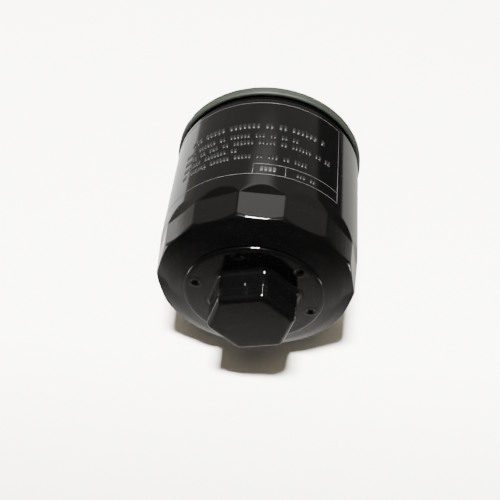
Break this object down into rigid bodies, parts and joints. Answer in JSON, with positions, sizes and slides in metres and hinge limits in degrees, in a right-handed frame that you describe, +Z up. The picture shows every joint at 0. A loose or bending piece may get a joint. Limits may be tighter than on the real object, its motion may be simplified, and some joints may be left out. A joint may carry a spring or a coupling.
{
  "type": "spin-on oil filter",
  "caption": "Spin-on oil filter: drawn can with wrench flats and a welded hex cap, rolled seam, ring gasket, threaded base plate, and a pleated element with drain-back and bypass valves.",
  "frame": {"origin": "centre of the bounding box's bottom: the filter lies on its side, and Z = 0 is the surface that its seam rests on", "axes": "+Y along the filter's axis, out through the gasket face that meets the engine; the hex cap points to -Y; +Z up, through the middle of the printed panel's side"},
  "size_m": [0.0758, 0.0886, 0.0757],
  "materials": {
    "black_paint": "gloss black enamel",
    "label_ink": "matt grey screen print",
    "zinc_steel": "greenish zinc plate",
    "tinplate": "plain pressed steel",
    "spring_steel": "oil-tempered wire",
    "nitrile_rubber": "moulded matt",
    "silicone_rubber": "moulded satin",
    "filter_paper": "embossed resin-treated paper",
    "plastisol": "cast, satin"
  },
  "bodies": {
    "root": {"shell": "black_paint", "hex_cap": "black_paint", "seaming_lid": "zinc_steel", "seam_compound": "plastisol", "gasket": "nitrile_rubber", "base_plate": "zinc_steel", "drainback_valve_hub": "silicone_rubber", "base_end_cap": "tinplate", "base_end_potting": "plastisol", "centre_tube": "tinplate", "pleated_media": "filter_paper", "pleat_clip": "tinplate", "dome_end_potting": "plastisol", "dome_end_cap": "tinplate", "bypass_seat": "tinplate", "bypass_spring": "spring_steel", "bypass_cage": "tinplate", "element_spring": "spring_steel"},
    "drainback_lip": {"drainback_valve_lip": "silicone_rubber"},
    "bypass_valve": {"bypass_disc": "tinplate", "bypass_seal": "nitrile_rubber"}
  },
  "joints": [
    {"name": "drainback_lip_lift", "type": "slide", "parent": "root", "child": "drainback_lip", "axis": [0, -1, 0], "range_m": [0, 0.002], "stiffness_N_per_m": 300},
    {"name": "bypass_open", "type": "slide", "parent": "root", "child": "bypass_valve", "axis": [0, 1, 0], "range_m": [0, 0.0035], "stiffness_N_per_m": 1500, "deforming": ["bypass_spring"]}
  ]
}
